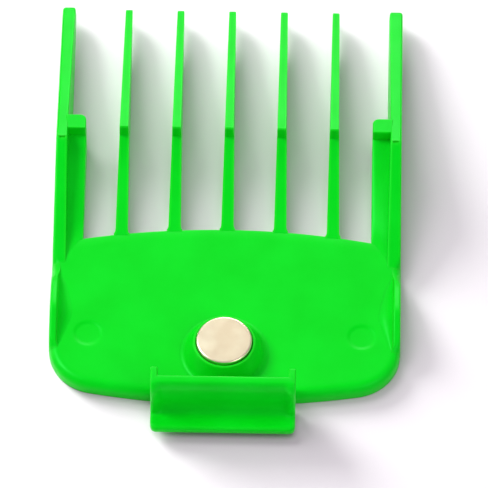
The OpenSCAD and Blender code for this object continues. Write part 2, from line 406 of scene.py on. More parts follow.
def capped(loops, first=True):
    """Strips over the loops with a face on the last loop and, unless first is off, on the first."""
    points, faces = strips(loops)
    size = len(loops[0])
    if first:
        faces.append(list(range(size)))
    faces.append(list(range(len(points) - size, len(points))))
    return points, faces


def joined(parts):
    """Several (points, faces) as one."""
    points, faces = [], []
    for more_points, more_faces in parts:
        base = len(points)
        points += more_points
        faces += [[base + i for i in face] for face in more_faces]
    return points, faces


def revolved(profile):
    """A solid of revolution round Z from (radius, z) points, closed by a flat face at both ends."""
    turns = [2 * math.pi * i / TURN_STEPS for i in range(TURN_STEPS)]
    return capped([[(r * math.cos(a), r * math.sin(a), z) for a in turns] for r, z in profile])


# ---------------------------------------------------------------- deck with its skirt
EDGE_R = 1.2            # rounding of the deck's rear and side edge
EDGE_STEPS = 5
FRONT_EDGE_R = 0.35     # rounding of its bowed front edge
FRONT_STEPS = 20        # points on half of that edge
FOOT_R = 0.15           # rounding of the skirt's foot
FOOT_STEPS = 3
CORNER_STEPS = 16
REAR_STEPS = 14
TUCK_X = 24.0           # the deck's front corners hide inside the side walls here
TUCK_Y = RAIL_Y + 0.6   # and here
SIDE_END_Y = RAIL_Y + 0.15      # where the deck's straight side ends
EJECTOR_X = 19.7        # centres of the two ejector-pin marks, left and right
EJECTOR_Y = 3.15
EJECTOR_R = 2.2
EJECTOR_DEPTH = 0.13
RING_STEPS = 48
TOP_GRID = 1.4          # spacing of the mesh on the flat top
TOP_MARGIN = 0.7        # kept free of that mesh along the flat top's outline
HOLE_MARGIN = 0.5       # and round the ejector marks
CDT_INSIDE = 1          # the triangulation keeps what lies inside its border
CDT_MM = 1e-5

# section of an ejector mark: (distance out from its radius, share of its depth)
EJECTOR_PROFILE = [
    (0.9, 0.0), (0.6, 0.0), (0.3, 0.0), (0.05, 0.0), (-0.08, 0.1),
    (-0.25, 0.4), (-0.42, 0.8), (-0.55, 0.96), (-0.75, 1.0),
]
HOLE_R = EJECTOR_R + EJECTOR_PROFILE[0][0]


def deck_loop(inset, z_side, z_front):
    """The deck's outline pulled in by inset; the front edge has its own height."""
    r = CORNER_R - inset
    big = BOW_R - inset
    cx = HALF_W - CORNER_R
    big_cy = REAR_Y + BOW_R
    cy = big_cy - math.sqrt((big - r) ** 2 - cx * cx)
    swing = math.degrees(math.asin(cx / (big - r)))
    span = TUCK_X - inset
    front = [span * math.sin(math.pi / 2 * i / FRONT_STEPS) for i in range(1, FRONT_STEPS + 1)]
    tucked = [(span, TUCK_Y)]
    side = [(HALF_W - inset, y) for y in (SIDE_END_Y, RAIL_Y * 0.5, RAIL_Y * 0.25)]
    corner = arc(cx, cy, r, 0, swing - 90, CORNER_STEPS)
    rear = arc(0, big_cy, big, swing - 90, -90, REAR_STEPS)[1:]
    half = [(x, front_edge(x, inset), z_front) for x in front]
    half += [(x, y, z_side) for x, y in tucked + side + corner + rear]
    left = [(-x, y, z) for x, y, z in reversed(half[:-1])]
    return half + left + [(0.0, front_edge(0.0, inset), z_front)]


def deck_rim_loop(side_in, front_in, z_side, z_front):
    """A deck loop whose front edge is pulled in by its own amount."""
    side = deck_loop(side_in, z_side, z_front)
    front = deck_loop(front_in, z_side, z_front)
    return [f if s[1] > (SIDE_END_Y + TUCK_Y) / 2 else s for s, f in zip(side, front)]


def inside(loop, x, y, margin):
    """Whether (x, y) lies inside a loop and at least margin from its points."""
    crossings = 0
    for (x0, y0, _), (x1, y1, _) in zip(loop, loop[1:] + loop[:1]):
        if (y0 > y) != (y1 > y) and x < mix(x0, x1, (y - y0) / (y1 - y0)):
            crossings += 1
    near = min(math.hypot(px - x, py - y) for px, py, _ in loop)
    return crossings % 2 == 1 and near > margin


def flat_top(outline):
    """The deck's flat top, evenly triangulated, with round holes left for the ejector marks."""
    plan = [(x, y) for x, y, _ in outline]
    edges = [(i, (i + 1) % len(plan)) for i in range(len(plan))]
    for side in (LEFT, RIGHT):
        first = len(plan)
        plan += arc(side * EJECTOR_X, EJECTOR_Y, HOLE_R, 0, 360, RING_STEPS)[:-1]
        edges += [(first + i, first + (i + 1) % RING_STEPS) for i in range(RING_STEPS)]
    columns = int(2 * HALF_W / TOP_GRID)
    rows = int((FRONT_Y - REAR_Y) / TOP_GRID)
    for i in range(columns):
        for k in range(rows):
            x, y = -HALF_W + (i + 0.5) * TOP_GRID, REAR_Y + (k + 0.5) * TOP_GRID
            clear_of_marks = math.hypot(abs(x) - EJECTOR_X, y - EJECTOR_Y) > HOLE_R + HOLE_MARGIN
            if clear_of_marks and inside(outline, x, y, TOP_MARGIN):
                plan.append((x, y))
    border = [list(range(len(outline)))]
    result = delaunay_2d_cdt([Vector(p) for p in plan], edges, border, CDT_INSIDE, CDT_MM)
    flat, triangles = result[0], result[2]
    hole_reach = HOLE_R * math.cos(math.pi / RING_STEPS) - 0.01
    kept = []
    for triangle in triangles:
        x = sum(flat[i].x for i in triangle) / 3
        y = sum(flat[i].y for i in triangle) / 3
        if math.hypot(abs(x) - EJECTOR_X, y - EJECTOR_Y) > hole_reach:
            kept.append(list(triangle))
    return [(p.x, p.y, DECK_TOP) for p in flat], kept


def ejector_mark(side):
    """Rings that dip from the flat top to the mark's own flat floor."""
    rings = []
    for out, share in EJECTOR_PROFILE:
        circle = arc(side * EJECTOR_X, EJECTOR_Y, EJECTOR_R + out, 0, 360, RING_STEPS)[:-1]
        rings.append([(x, y, DECK_TOP - EJECTOR_DEPTH * share) for x, y in circle])
    return capped(rings, first=False)


def deck_shell():
    """The deck and the skirt round it, with two shallow ejector-pin marks in the top."""
    loops = [deck_loop(EDGE_R + k, DECK_TOP, DECK_TOP) for k in (1.2, 0.8, 0.4)]
    for i in range(EDGE_STEPS + 1):
        a = math.radians(90 * i / EDGE_STEPS)
        inward, down = 1 - math.sin(a), 1 - math.cos(a)
        z_side, z_front = DECK_TOP - EDGE_R * down, DECK_TOP - FRONT_EDGE_R * down
        loops.append(deck_rim_loop(EDGE_R * inward, FRONT_EDGE_R * inward, z_side, z_front))
    loops.append(deck_rim_loop(0, 0, FOOT_R, DECK_UNDER + FOOT_R))
    for i in range(1, FOOT_STEPS + 1):
        a = math.radians(90 * i / FOOT_STEPS)
        pull, rise = FOOT_R * (1 - math.cos(a)), FOOT_R * (1 - math.sin(a))
        loops.append(deck_rim_loop(pull, pull, rise, DECK_UNDER + rise))
    # up the skirt's inner side to the deck's underside: (inset, height there)
    inner_side = [(SKIRT_T - FOOT_R, 0), (SKIRT_T, FOOT_R), (SKIRT_T + 0.05, DECK_UNDER - 0.1)]
    inner_side.append((SKIRT_T + 0.15, DECK_UNDER))
    for inset, z in inner_side:
        loops.append(deck_rim_loop(inset, inset, z, DECK_UNDER))
    shell = capped(loops, first=False)
    points, faces = joined([shell, flat_top(loops[0]), ejector_mark(LEFT), ejector_mark(RIGHT)])
    nodes = ["deck_plate", "skirt_side_left", "skirt_side_right", "skirt_rear_left", "skirt_rear_right"]
    return add_piece("deck_and_skirt", points, faces, "comb", nodes)


deck_shell()

# ---------------------------------------------------------------- slim teeth and their ribs
DRAFT = math.tan(math.radians(1.3))
EDGE_BEVEL = 0.14
STEP_LIP = 0.18         # chamfer at the top and foot of the blade's step
NOSE_START = -78        # angle at which a tooth's nose leaves its sole
SOLE_STEPS = 12
TIP_ROUND = 0.6         # rounding of a slim tooth's tip, seen from above
ROOT_FLARE_R = 0.7      # fillet in plan between a tooth and the deck's edge
ROOT_FLARE_W = 0.3      # its width as a share of its length
RIB_SINK = 0.02         # keeps a rib's foot off the rest plane and its sides within the CAD's
RIB_REACH_REAR = 0.5    # how far a rib reaches into the skirt
RIB_REACH_FRONT = 0.4   # into the tooth
RIB_REACH_TOP = 0.3     # and into the deck


def tooth_outline(tip_y, shoulder):
    """Side view of a tooth: rising sole, round nose, then the shoulder points back to the flat sole."""
    nose_y = tip_y - NOSE_R
    sole = []
    for i in range(SOLE_STEPS + 1):
        t = i / SOLE_STEPS
        sole.append((mix(SOLE_FLAT_Y, nose_y, t), (NOSE_Z - NOSE_R) * t * t))
    nose = arc(nose_y, NOSE_Z, NOSE_R, NOSE_START, NOSE_TOP, 10)
    return sole + nose + shoulder


def slim_tooth(index):
    """A slim tooth: a ramp from the deck up to the blade's step, then a taper to the tip."""
    x0 = (index - 3) * PITCH
    root_y = front_edge(abs(x0))
    ramp_y = root_y - FRONT_EDGE_R
    ramp_top = [(mix(ramp_y, STOP_Y, t), mix(DECK_TOP, BLADE_Z, t)) for t in (0.75, 0.5, 0.25, 0.0, -0.1)]
    shoulder = [(STOP_Y + STEP_LIP, STEP_Z), (STOP_Y, STEP_Z - STEP_LIP)]
    shoulder += [(STOP_Y, BLADE_Z + STEP_LIP), (STOP_Y - STEP_LIP, BLADE_Z)]
    shoulder += ramp_top
    shoulder.append((ramp_top[-1][0], 0.0))
    outline = tooth_outline(TIP_Y, shoulder)

    def half_width(y, z):
        """Half the tooth's width there: plan taper, draft, root fillet and round tip."""
        plan = mix(ROOT_HALF_W, TIP_HALF_W, (y - root_y) / (TIP_Y - root_y))
        gone = min(ROOT_FLARE_R, max(0.0, y - root_y))
        flare = ROOT_FLARE_R - math.sqrt(ROOT_FLARE_R ** 2 - (ROOT_FLARE_R - gone) ** 2)
        over = max(0.0, y - (TIP_Y - TIP_ROUND))
        rounding = TIP_ROUND - math.sqrt(max(0.0, TIP_ROUND ** 2 - over ** 2))
        return plan - abs(z - DECK_TOP) * DRAFT + flare * ROOT_FLARE_W - min(rounding, TIP_HALF_W / 2)

    cuts = [((0, DECK_TOP - 0.02), (0, 1))]
    cuts += [((root_y + ROOT_FLARE_R * k, 0), (1, 0)) for k in (0.0, 0.08, 0.25, 0.5, 1.0)]
    cuts += [((TIP_Y - TIP_ROUND * k, 0), (1, 0)) for k in (1.0, 0.65, 0.35, 0.15)]
    points, faces = slab(
        outline, lambda y, z: x0 - half_width(y, z), lambda y, z: x0 + half_width(y, z), cuts)
    return add_piece(f"tooth_{index}_moulded", points, faces, "comb", [f"tooth_{index}"], bevel=EDGE_BEVEL)


def under_rib(index):
    """The rib that carries a tooth back under the deck to the skirt."""
    low, high = box_mm(f"rib_{index}")
    x0 = (low.x + high.x) / 2
    half = (high.x - low.x) / 2
    y0, y1 = low.y - RIB_REACH_REAR, high.y + RIB_REACH_FRONT
    top = high.z + RIB_REACH_TOP
    outline = [(y0, RIB_SINK), (y1, RIB_SINK), (y1, top), (y0, top)]

    def half_width(z):
        """Half the rib's width at height z."""
        return half + z * DRAFT - RIB_SINK

    points, faces = slab(outline, lambda y, z: x0 - half_width(z), lambda y, z: x0 + half_width(z))
    return add_piece(f"rib_{index}_moulded", points, faces, "comb", [f"rib_{index}"], bevel=EDGE_BEVEL)


for number in range(1, 6):
    slim_tooth(number)
    under_rib(number)

# ---------------------------------------------------------------- side walls and outer teeth
WALL_LEAN = 0.1         # how far a wall's outer side leans in at the ridge
WALL_FOOT_T = 2.1
WALL_TOP_T = 1.6
RIM_R = 1.2             # where a wall runs out it takes on the rounding of the deck's edge
WALL_OUT_R = 0.3
WALL_IN_R = 0.14
FOOT_EDGE_R = 0.12
NOTCH_DEPTH = 0.3       # a small moulding notch on the wall's top, just behind the ridge
NOTCH_Y = 33.35
NOTCH_HALF_L = 0.13
NOTCH_SLOPE_L = 0.03
GROW_REAR = 0.6         # a wall starts to grow out of the deck's edge this far behind RAIL_Y
GROW_L = 2.0            # and has its own section after this length
TOP_LEAD = 0.15         # its top starts to rise this far behind RAIL_Y
OUTER_TIP_NARROW = 0.2  # an outer tooth loses this much on each side at its tip
OUTER_TIP_L = 0.8       # over this length


def wall_outer_x(z):
    """X of the right wall's outer side at height z."""
    return HALF_W - WALL_LEAN * z / RIDGE_Z


def wall_inner_x(z):
    """X of the right wall's inner side at height z."""
    return HALF_W - mix(WALL_FOOT_T, WALL_LEAN + WALL_TOP_T, z / RIDGE_Z)


def wall_loop(y, z_low, z_top, r_out, r_in, narrow=0.0, sink=0.0):
    """Cross-section of a side wall or outer tooth at y.

    narrow takes that much off each side, and sink lowers the middle of the top.
    """
    outer, inner = wall_outer_x(z_top) - narrow, wall_inner_x(z_top) + narrow
    foot = min(FOOT_EDGE_R, (z_top - z_low) / 4)
    r_out, r_in = min(r_out, (z_top - z_low) / 2), min(r_in, (z_top - z_low) / 2)
    loop = [(wall_outer_x(z_low) - narrow - foot, z_low), (wall_outer_x(z_low) - narrow, z_low + foot)]
    loop += arc(outer - r_out, z_top - r_out, r_out, 0, 90, 6)
    for t in (0.12, 0.14, 0.86, 0.88):
        drop = sink if 0.13 < t < 0.87 else 0.0
        loop.append((mix(outer - r_out, inner + r_in, t), z_top - drop))
    loop += arc(inner + r_in, z_top - r_in, r_in, 90, 180, 4)
    loop += [(wall_inner_x(z_low) + narrow, z_low + foot), (wall_inner_x(z_low) + narrow + foot, z_low)]
    return [(x, y, z) for x, z in loop]


def add_loft(name, loops, body, nodes, side, crease=35):
    """A closed skin over loops that run along one axis, mirrored to the given side."""
    points, faces = capped(loops)
    return add_piece(name, mirrored_points(points, side), faces, body, nodes, crease=crease)


def side_wall(side):
    """The wall grows out of the deck's rounded edge and rises to the ridge."""
    rows = [RAIL_Y + step for step in (-1.6, -1.0, -0.6, -0.3, 0.0, 0.3, 0.8, 1.6)]
    rows += [mix(rows[-1], NOTCH_Y - 0.4, i / 10) for i in range(1, 11)]
    rows += [NOTCH_Y - NOTCH_HALF_L - NOTCH_SLOPE_L, NOTCH_Y - NOTCH_HALF_L]
    rows += [NOTCH_Y + NOTCH_HALF_L, NOTCH_Y + NOTCH_HALF_L + NOTCH_SLOPE_L]
    # just short of the ridge the wall is tucked in, and its last row hides inside the outer tooth
    rows += [RIDGE_Y - 0.1, RIDGE_Y - 0.08, RIDGE_Y + 0.05]
    loops = []
    for y in rows:
        grown = smooth((y - (RAIL_Y - GROW_REAR)) / GROW_L)
        rise = max(0.0, y - RAIL_Y + TOP_LEAD) * (RIDGE_Z - DECK_TOP) / (RIDGE_Y - RAIL_Y)
        z_top = min(RIDGE_Z - 0.02, DECK_TOP + rise) - FLUSH * (1 - grown)
        sink = NOTCH_DEPTH if abs(y - NOTCH_Y) < NOTCH_HALF_L + 0.01 else 0.0
        tucked = FLUSH if y > RIDGE_Y - 0.09 else 0.0
        z_low = tucked + FLUSH * (1 - grown)
        loops.append(wall_loop(y, z_low, z_top, mix(RIM_R, WALL_OUT_R, grown), WALL_IN_R, tucked, sink))
    name = SIDE_NAMES[side]
    return add_loft(f"side_wall_{name}_moulded", loops, "comb", [f"side_wall_{name}"], side)


def outer_tooth(side):
    """The outer tooth: a straight top from the ridge down to a round nose, over a rising sole."""
    tip_y = outer_high.y
    nose_y = tip_y - NOSE_R
    tangent = math.radians(NOSE_TOP)
    end_y, end_z = nose_y + NOSE_R * math.cos(tangent), NOSE_Z + NOSE_R * math.sin(tangent)
    rows = [RIDGE_Y - 0.05 + (SOLE_FLAT_Y - RIDGE_Y) * i / 3 for i in range(4)]
    rows += [mix(SOLE_FLAT_Y, nose_y, i / 14) for i in range(1, 15)]
    rows += [nose_y + NOSE_R * math.sin(math.radians(a)) for a in (12, 24, 36, 48, 58, 67, 75, 81, 86)]
    loops = []
    for y in rows:
        t = max(0.0, (y - SOLE_FLAT_Y) / (nose_y - SOLE_FLAT_Y))
        z_low = (NOSE_Z - NOSE_R) * min(1.0, t) ** 2
        z_top = mix(RIDGE_Z, end_z, (y - RIDGE_Y) / (end_y - RIDGE_Y))
        if y > nose_y:
            reach = math.sqrt(max(0.0, NOSE_R ** 2 - (y - nose_y) ** 2))
            z_low = NOSE_Z - reach
            z_top = min(z_top, NOSE_Z + reach)
        narrow = OUTER_TIP_NARROW * smooth((y - (tip_y - OUTER_TIP_L)) / OUTER_TIP_L)
        loops.append(wall_loop(y, z_low, min(z_top, RIDGE_Z), WALL_OUT_R, WALL_IN_R, narrow))
    name = SIDE_NAMES[side]
    return add_loft(f"outer_tooth_{name}_moulded", loops, "comb", [f"outer_tooth_{name}"], side)


# ---------------------------------------------------------------- ledges and stop blocks
LEDGE_T = 1.2           # thickness of its top and of its inner wall
LEDGE_EDGE_R = 0.15     # rounding along its inner edge
LEDGE_WALL_X = wall_inner_x(DECK_TOP) + 0.6     # ledges and blocks reach this far into the wall
LEDGE_FADE_Y = 16.4     # where the ledge leaves the deck beside the wall
LEDGE_HIDDEN_L = 1.4    # length of ledge behind that, below the deck's top
LEDGE_EASE = 0.25       # part of its length over which the ledge bends up from the deck
CORE_EASE = 0.1         # chamfers inside the cored ledge
BLOCK_SLOPE = 0.09      # fall of a stop block's top towards the tips
BLOCK_CORNER_R = 0.9
BLOCK_BEVEL = EDGE_BEVEL * 1.3
LEDGE_COLUMNS = 6
LEDGE_ROWS = 24


def ledge_top(x, y):
    """The ledge's twisted top: beside the wall it leaves the deck earlier than at its inner edge."""
    across = (x - LEDGE_X) / (wall_inner_x(DECK_TOP) - LEDGE_X)
    start = mix(front_edge(LEDGE_X), LEDGE_FADE_Y, min(1.0, across))
    t = (y - start) / (STOP_Y - start)
    eased = t * t / (2 * LEDGE_EASE) if t < LEDGE_EASE else t - LEDGE_EASE / 2
    rise = eased / (1 - LEDGE_EASE / 2) if t > 0 else t * 0.3
    return DECK_TOP + (BLADE_Z - DECK_TOP) * rise


def blade_ledge(side):
    """A cored ledge: twisted top, inner wall down to the rest plane, open underneath."""
    edge_x = LEDGE_X + LEDGE_EDGE_R
    xs = [LEDGE_X, LEDGE_X + LEDGE_EDGE_R * 0.3, edge_x]
    xs += [mix(edge_x, LEDGE_WALL_X, i / LEDGE_COLUMNS) for i in range(1, LEDGE_COLUMNS + 1)]
    drops = [LEDGE_EDGE_R, LEDGE_EDGE_R * 0.3, 0.0] + [0.0] * LEDGE_COLUMNS
    core_x = LEDGE_X + LEDGE_T
    loops = []
    for row in range(LEDGE_ROWS + 1):
        y = mix(LEDGE_FADE_Y - LEDGE_HIDDEN_L, STOP_Y + 0.3, row / LEDGE_ROWS)
        loop = [(x, y, ledge_top(x, y) - drop) for x, drop in zip(xs, drops)]
        under = ledge_top(LEDGE_X, y) - LEDGE_T
        core = [(LEDGE_WALL_X, under), (core_x + CORE_EASE, under), (core_x, under - CORE_EASE)]
        foot = [(core_x, CORE_EASE), (core_x - CORE_EASE, 0.0)]
        foot += [(LEDGE_X + FOOT_EDGE_R, 0.0), (LEDGE_X, FOOT_EDGE_R)]
        loops.append(loop + [(x, y, z) for x, z in core + foot])
    points, faces = capped(loops)
    name = SIDE_NAMES[side]
    return add_piece(f"blade_ledge_{name}_moulded", mirrored_points(points, side), faces, "comb",
                     [f"blade_ledge_{name}"])


def stop_block(side):
    """The raised block at the ledge's end, with a round front inner corner."""
    corner = arc(LEDGE_X + BLOCK_CORNER_R, block_high.y - BLOCK_CORNER_R, BLOCK_CORNER_R, 180, 90, 6)
    plan = [(LEDGE_WALL_X, STOP_Y), (LEDGE_X, STOP_Y)] + corner + [(LEDGE_WALL_X, block_high.y)]
    bottom = [(x, y, FLUSH) for x, y in plan]
    top = [(x, y, block_high.z - (y - STOP_Y) * BLOCK_SLOPE) for x, y in plan]
    points, faces = capped([bottom, top])
    name = SIDE_NAMES[side]
    return add_piece(f"stop_block_{name}_moulded", mirrored_points(points, side), faces, "comb",
                     [f"stop_block_{name}"], bevel=BLOCK_BEVEL)


# ---------------------------------------------------------------- side ears
EAR_OUT_R = 0.35
EAR_IN_R = 0.3
EAR_COVE_R = 2.1        # cove between the ear and the deck where the ear is EAR_COVE_H high
EAR_COVE_H = 2.0
EAR_GROWN_H = 0.9       # from this height up the ear has its own outer rounding
EAR_FADE_FRONT = 0.5    # part of the front slope over which it eases out of the deck's edge
EAR_FADE_REAR = 0.15
EAR_PEAK_EASE = 0.012   # softens the peak between the two slopes
EAR_SKIN = 0.001        # keeps its outer side just inside the deck's
EAR_FOOT = 1.2          # how far its hidden foot goes down into the deck's edge
EAR_STEPS = 40


def ear_loop(y, height, thick):
    """Cross-section of an ear; as its height fades out it turns into the deck's rounded edge."""
    grown = min(1.0, height / EAR_GROWN_H)
    top = DECK_TOP + height - FLUSH * (1 - grown)
    r_out = mix(RIM_R, EAR_OUT_R, smooth(grown))
    r_in = min(EAR_IN_R, height * 0.5 + 0.01)
    cove = EAR_COVE_R * height / EAR_COVE_H + 0.01
    inner = HALF_W - max(thick, r_out + r_in + 0.02)
    loop = [(HALF_W - 0.4, DECK_TOP - EAR_FOOT), (HALF_W - EAR_SKIN, DECK_TOP - RIM_R - 0.05)]
    loop += arc(HALF_W - r_out - EAR_SKIN, top - r_out, r_out, 0, 90, 8)
    loop += arc(inner + r_in, top - r_in, r_in, 90, 170, 5)
    loop += arc(inner - cove, DECK_TOP + cove - FLUSH, cove, -8, -90, 7)
    root_x = inner - cove - ROOT_DEPTH
    loop += [(root_x, DECK_TOP - 0.03), (root_x, DECK_TOP - ROOT_DEPTH), (inner - 0.1, DECK_TOP - EAR_FOOT)]
    return [(x, y, z) for x, z in loop]


def side_ear(side):
    """A low blunt ear on the deck's side edge, coved into the deck on its inner side."""
    y_low, y_high = ear_low.y, RAIL_Y - 0.3
    peak_y = (ear_low.y + ear_high.y) / 2
    tall = ear_high.z - DECK_TOP
    thick = ear_high.x - ear_low.x
    loops = []
    for i in range(EAR_STEPS + 1):
        y = mix(y_low, y_high, i / EAR_STEPS)
        run = (y_high - y) / (y_high - peak_y) if y > peak_y else (y - y_low) / (peak_y - y_low)
        fade = EAR_FADE_FRONT if y > peak_y else EAR_FADE_REAR
        blunt = math.sqrt((1 - run) ** 2 + EAR_PEAK_EASE) - math.sqrt(EAR_PEAK_EASE)
        height = tall * (1 - blunt) * smooth(run / fade)
        loops.append(ear_loop(y, max(0.0, height), thick))
    name = SIDE_NAMES[side]
    return add_loft(f"side_ear_{name}_moulded", loops, "comb", [f"side_ear_{name}"], side)


for hand in (LEFT, RIGHT):
    side_wall(hand)
    outer_tooth(hand)
    blade_ledge(hand)
    stop_block(hand)
    side_ear(hand)

# ---------------------------------------------------------------- magnet, boss and adhesive
BOSS_COVE_R = 1.0
BOSS_RIM_R = 0.18
POCKET_R = 4.1
BOSS_TOP_R = 4.5
MAGNET_EDGE_R = 0.28    # rounding of the magnet's upper edge
MAGNET_CHAMFER = 0.2    # chamfer of its lower edge
RIPPLE_H = 0.02         # unevenness of the adhesive's edge
RIPPLE_COUNT = 5


def magnet_boss():
    """A cone that flares into the deck, with a round rim and the magnet's pocket."""
    foot_r = boss_high.x
    slope = math.degrees(math.atan2(boss_high.z - DECK_TOP, foot_r - BOSS_TOP_R))
    cove_x = foot_r + BOSS_COVE_R * math.tan(math.radians(slope / 2))
    cove = arc(cove_x, DECK_TOP + BOSS_COVE_R, BOSS_COVE_R, -90, -90 - slope, 8)
    rim_out = arc(BOSS_TOP_R - BOSS_RIM_R, boss_high.z - BOSS_RIM_R, BOSS_RIM_R, 90 - slope, 90, 4)
    pocket = [(POCKET_R + 0.06, boss_high.z), (POCKET_R, boss_high.z - 0.08), (POCKET_R, glue_low.z)]
    root_r = cove_x + ROOT_DEPTH
    root = [(root_r, DECK_TOP - ROOT_DEPTH), (root_r, DECK_TOP - 0.03), (cove_x + 0.02, DECK_TOP - 0.002)]
    points, faces = revolved(root + cove + rim_out + pocket)
    return add_piece("magnet_boss_moulded", points, faces, "comb", ["magnet_boss"], crease=50)


def magnet_disc():
    """The plated disc, with a round upper edge."""
    r, top = magnet_high.x, magnet_high.z
    flat_r = r - MAGNET_EDGE_R
    profile = [(r - MAGNET_CHAMFER, magnet_low.z), (r, magnet_low.z + MAGNET_CHAMFER)]
    profile += arc(flat_r, top - MAGNET_EDGE_R, MAGNET_EDGE_R, 0, 90, 6)
    profile += [(flat_r - 0.1, top), (0.6 * r, top)]
    points, faces = revolved(profile)
    nodes = ["magnet_disc"]
    return add_piece("magnet_disc_plated", points, faces, "comb", nodes, "nickel_plating", crease=50)


def magnet_adhesive():
    """A thin bed of adhesive with an uneven squeezed-out edge."""
    r, z_low, z_top = glue_high.x, glue_low.z, glue_high.z
    loops = []
    for ring_r, z, ripple in ((r - 0.3, z_low, 0), (r, z_low + 0.02, 0), (r + 0.05, z_top, RIPPLE_H)):
        ring = []
        for i in range(TURN_STEPS):
            a = 2 * math.pi * i / TURN_STEPS
            uneven = ripple * math.sin(RIPPLE_COUNT * a)
            ring.append((ring_r * math.cos(a), ring_r * math.sin(a), z + uneven))
        loops.append(ring)
    points, faces = capped(loops)
    return add_piece("magnet_adhesive_bed", points, faces, "comb", ["magnet_adhesive"], "clear_adhesive")


magnet_boss()
magnet = magnet_disc()
magnet_adhesive()

# ---------------------------------------------------------------- latch
SCOOP_R = 1.2           # the curve between wall and tab, across
SCOOP_H = 2.3           # and up the wall
LATCH_HALF_W = end_high.x
END_T = end_high.x - end_low.x
CROWN_R = 0.75          # rounding of the lip's rear edge, across
CROWN_DROP = 1.7        # and down the wall
LIP_R = 0.36            # rounding of its front edge
FOOT_ROUND = 0.4        # rounding of the wall's foot
TAB_DISH = 0.4          # how far the tab's top dips behind its rim
RIM_EDGE_R = 0.45       # rounding of the thumb tab's rim
END_EDGE_R = 0.35       # rounding of the latch's outer sides
FLANGE_H = 0.6          # how far the sides stand up round the scoop
FLANGE_W = 1.75         # width over which the scoop rises to them
TAB_CORNER_R = 0.95     # rounding of the tab's corners, seen from above
TAB_CORNER_L = 2.0      # the corners' rounding fades out over this length from the rim
FLANGE_RUN = FLANGE_W - END_EDGE_R - 0.2    # the part of that width inside the rounded outer side
END_CORNER_R = 0.35     # rounding of an end plate's upper corner
END_CLEAR = 0.5         # height of an end plate's underside above the deck
END_BEVEL = 0.28
WEB_HALF_T = 0.45       # half the thickness of the web
WEB_WAIST = 0.12        # how much thinner the web is in its middle, on each face
WEB_WAIST_L = 0.25      # spread of that thinning along Y


def latch_profile():
    """Side view of the latch as (y, z, swell): swell is how strongly the sides stand up there."""
    y_wall, y_back, top = latch_low.y, latch_high.y, latch_high.z
    front = [(hook_high.y, hook_low.z + (hook_high.y - y_back)), (hook_high.y, top - LIP_R - 0.1)]
    front += arc(hook_high.y - LIP_R, top - LIP_R, LIP_R, 10, 90, 4)
    dish_z = DECK_TOP - TAB_DISH
    crown = oval(y_wall + CROWN_R, top - CROWN_DROP, CROWN_R, CROWN_DROP, 90, 180, 12)
    wall = [(y_wall, mix(top - CROWN_DROP, dish_z + SCOOP_H, t)) for t in (0.25, 0.5, 0.75)]
    scoop = oval(y_wall - SCOOP_R, dish_z + SCOOP_H, SCOOP_R, SCOOP_H, 0, -90, 12)
    rim_y = tab_low.y + RIM_EDGE_R
    for t in (0.35, 0.7, 1.0):
        scoop.append((mix(y_wall - SCOOP_R, rim_y + 0.2, t), mix(dish_z, DECK_TOP - 0.03, t * t)))
    rim = arc(rim_y, DECK_TOP - RIM_EDGE_R, RIM_EDGE_R, 90, 180, 5)
    rim += arc(rim_y, tab_low.z + RIM_EDGE_R, RIM_EDGE_R, 180, 270, 5)
    below = [(y_wall - 0.9, tab_low.z), (y_wall - 0.45, tab_low.z - 0.12), (y_wall - 0.1, tab_low.z - 0.38)]
    below += [(y_wall + 0.15, latch_low.z + 0.05), (y_wall + 0.45, latch_low.z)]
    below += arc(y_back - FOOT_ROUND, latch_low.z + FOOT_ROUND, FOOT_ROUND, -90, 0, 4)
    below.append((y_back, hook_low.z))
    profile = [(y, z, 0.0) for y, z in front]
    profile += [(y, z, smooth(i / (len(crown) - 1))) for i, (y, z) in enumerate(crown)]
    profile += [(y, z, 1.0) for y, z in wall]
    profile += [(y, z, 1.0 - 0.85 * smooth((i - 6) / 8)) for i, (y, z) in enumerate(scoop)]
    profile += [(y, z, 0.0) for y, z in rim + below]
    return profile


def profile_normals(profile):
    """Outward unit normals of a closed (y, z, ...) profile that runs anticlockwise from the front."""
    normals = []
    for i in range(len(profile)):
        before, after = profile[i - 1], profile[(i + 1) % len(profile)]
        dy, dz = after[0] - before[0], after[1] - before[1]
        length = math.hypot(dy, dz)
        normals.append((dz / length, -dy / length))
    return normals


def latch_scoop():
    """Lip, wall and thumb tab in one run, with sides that stand up softly round the scoop."""
    profile = latch_profile()
    normals = profile_normals(profile)
    half = LATCH_HALF_W
    reach = [half - END_EDGE_R * (1 - math.sin(math.radians(a))) for a in (90, 72, 54, 36, 18, 0)]
    flange = [half - FLANGE_W + FLANGE_RUN * (i / 10) for i in range(10)]
    plain = [half * 0.6, half * 0.3]
    right = sorted(reach + flange + plain)
    stations = [-x for x in reversed(right)] + [0.0] + right
    loops = []
    for x in stations:
        side_t = (abs(x) - (half - FLANGE_W)) / FLANGE_RUN
        rise = FLANGE_H * smooth(side_t)
        over = max(0.0, abs(x) - (half - END_EDGE_R))
        shrink = END_EDGE_R - math.sqrt(max(0.0, END_EDGE_R ** 2 - over ** 2))
        turn = max(0.0, abs(x) - (half - TAB_CORNER_R))
        corner = TAB_CORNER_R - math.sqrt(max(0.0, TAB_CORNER_R ** 2 - turn ** 2))
        loop = []
        for (y, z, swell), (ny, nz) in zip(profile, normals):
            push = rise * swell - shrink
            near_rim = smooth((tab_low.y + TAB_CORNER_L + 0.2 - y) / TAB_CORNER_L)
            loop.append((x, max(y + ny * push, tab_low.y) + corner * near_rim * 0.8, z + nz * push))
        loops.append(loop)
    nodes = ["latch_wall", "latch_hook", "thumb_tab"]
    return add_loft("latch_lip_wall_and_tab", loops, "latch", nodes, RIGHT, crease=45)


